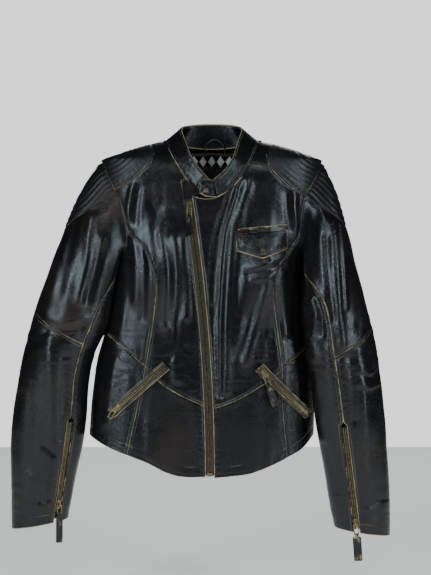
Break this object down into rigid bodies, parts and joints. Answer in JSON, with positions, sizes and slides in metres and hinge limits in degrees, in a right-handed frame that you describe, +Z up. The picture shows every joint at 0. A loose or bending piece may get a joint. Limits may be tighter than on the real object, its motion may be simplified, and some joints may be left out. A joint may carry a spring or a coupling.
{
  "type": "leather riding jacket",
  "caption": "Fitted leather riding jacket with a stand collar and snap tab, slanted front zip, flapped chest pocket, zipped hand pockets and zipped cuffs.",
  "frame": {"origin": "middle of the neck, level with the inner ends of the shoulder lines, where a hanger's neck stands", "axes": "+Z up, -Y is the front of the jacket, +X to the right seen from the front"},
  "size_m": [0.6875, 0.1641, 0.793],
  "materials": {
    "leather": "semi-gloss pebbled, rubbed light along the seams",
    "ribbed_leather": "semi-gloss, stitched in parallel ribs",
    "pull_leather": "stitched edge",
    "lining": "woven",
    "brass": "antique",
    "bronze": "dark antique"
  },
  "bodies": {
    "jacket": {"front_centre_left": "leather", "hem_centre_left": "leather", "front_side_left": "leather", "hem_side_left": "leather", "shoulder_patch_left": "ribbed_leather", "front_centre_right": "leather", "hem_centre_right": "leather", "front_side_right": "leather", "hem_side_right": "leather", "shoulder_patch_right": "ribbed_leather", "back_yoke": "leather", "back_centre": "leather", "back_side_left": "leather", "back_side_right": "leather", "back_hem": "leather", "lining_front_left": "lining", "lining_front_right": "lining", "lining_back": "lining", "neck_facing": "leather", "collar_band": "leather", "collar_stud": "bronze", "hanging_loop": "lining", "main_zip_left": "brass", "main_zip_right": "brass", "main_zip_box": "brass", "hand_welt_left": "leather", "hand_zip_left": "brass", "hand_welt_right": "leather", "hand_zip_right": "brass", "chest_welt": "leather", "chest_stud": "bronze"},
    "collar_tab": {"collar_tab": "leather", "collar_snap": "bronze"},
    "chest_flap": {"chest_flap": "leather", "chest_snap": "bronze"},
    "main_slider": {"main_slider": "brass"},
    "main_pull": {"main_ring": "brass", "main_tab": "pull_leather"},
    "hand_slider_left": {"hand_left_slider": "brass"},
    "hand_pull_left": {"hand_left_ring": "brass"},
    "hand_slider_right": {"hand_right_slider": "brass"},
    "hand_pull_right": {"hand_right_ring": "brass", "hand_right_tab": "pull_leather"},
    "sleeve_left": {"sleeve_cap_left": "ribbed_leather", "sleeve_upper_left": "leather", "sleeve_forearm_left": "leather", "sleeve_under_left": "leather", "cuff_zip_left": "brass"},
    "cuff_slider_left": {"cuff_left_slider": "brass"},
    "cuff_pull_left": {"cuff_left_ring": "brass", "cuff_left_tab": "pull_leather"},
    "sleeve_right": {"sleeve_cap_right": "ribbed_leather", "sleeve_upper_right": "leather", "sleeve_forearm_right": "leather", "sleeve_under_right": "leather", "cuff_zip_right": "brass"},
    "cuff_slider_right": {"cuff_right_slider": "brass"},
    "cuff_pull_right": {"cuff_right_ring": "brass", "cuff_right_tab": "pull_leather"}
  },
  "joints": [
    {"name": "main_zip_travel", "type": "hinge", "parent": "jacket", "child": "main_slider", "pos_m": [-3.20204, -0.0591, -0.616], "axis": [0, 1, 0], "range_deg": [0, 8.37]},
    {"name": "main_pull_swing", "type": "hinge", "parent": "main_slider", "child": "main_pull", "pos_m": [-0.03985, -0.0657, -0.13183], "axis": [-1, 0, 0.0051], "range_deg": [0, 120]},
    {"name": "chest_flap_lift", "type": "hinge", "parent": "jacket", "child": "chest_flap", "pos_m": [0.08995, -0.06334, -0.17655], "axis": [-0.9919, -0.0868, -0.0923], "range_deg": [0, 60]},
    {"name": "collar_tab_open", "type": "hinge", "parent": "jacket", "child": "collar_tab", "pos_m": [0.0065, -0.065, -0.1145], "axis": [-0.1897, 0.2533, 0.9486], "range_deg": [0, 60]},
    {"name": "hand_zip_left_travel", "type": "hinge", "parent": "jacket", "child": "hand_slider_left", "pos_m": [-0.02577, 0.53939, -0.4968], "axis": [-0.6414, 0.1596, 0.7504], "range_deg": [0, 9.65]},
    {"name": "hand_pull_left_swing", "type": "hinge", "parent": "hand_slider_left", "child": "hand_pull_left", "pos_m": [-0.17143, -0.06251, -0.49328], "axis": [-0.7793, 0.1921, 0.5966], "range_deg": [0, 120]},
    {"name": "sleeve_left_swing", "type": "hinge", "parent": "jacket", "child": "sleeve_left", "pos_m": [-0.203, 0, -0.043], "axis": [0, 1, 0], "range_deg": [0, 30]},
    {"name": "cuff_zip_left_travel", "type": "slide", "parent": "sleeve_left", "child": "cuff_slider_left", "axis": [0.1441, -0.0663, 0.9873], "range_m": [-0.0149, 0.1405]},
    {"name": "cuff_pull_left_swing", "type": "hinge", "parent": "cuff_slider_left", "child": "cuff_pull_left", "pos_m": [-0.27476, -0.04378, -0.66916], "axis": [-0.8794, -0.474, -0.0444], "range_deg": [0, 120]},
    {"name": "hand_zip_right_travel", "type": "hinge", "parent": "jacket", "child": "hand_slider_right", "pos_m": [0.11741, 0.20519, -0.39736], "axis": [0.7083, -0.1376, 0.6924], "range_deg": [0, 20.86]},
    {"name": "hand_pull_right_swing", "type": "hinge", "parent": "hand_slider_right", "child": "hand_pull_right", "pos_m": [0.09502, -0.07424, -0.42998], "axis": [-0.9441, 0.1118, -0.3101], "range_deg": [0, 120]},
    {"name": "sleeve_right_swing", "type": "hinge", "parent": "jacket", "child": "sleeve_right", "pos_m": [0.203, 0, -0.043], "axis": [0, -1, 0], "range_deg": [0, 30]},
    {"name": "cuff_zip_right_travel", "type": "slide", "parent": "sleeve_right", "child": "cuff_slider_right", "axis": [-0.1327, -0.0996, 0.9861], "range_m": [0, 0.1628]},
    {"name": "cuff_pull_right_swing", "type": "hinge", "parent": "cuff_slider_right", "child": "cuff_pull_right", "pos_m": [0.25625, -0.0803, -0.69562], "axis": [-0.9797, 0.1917, -0.0594], "range_deg": [0, 120]}
  ]
}
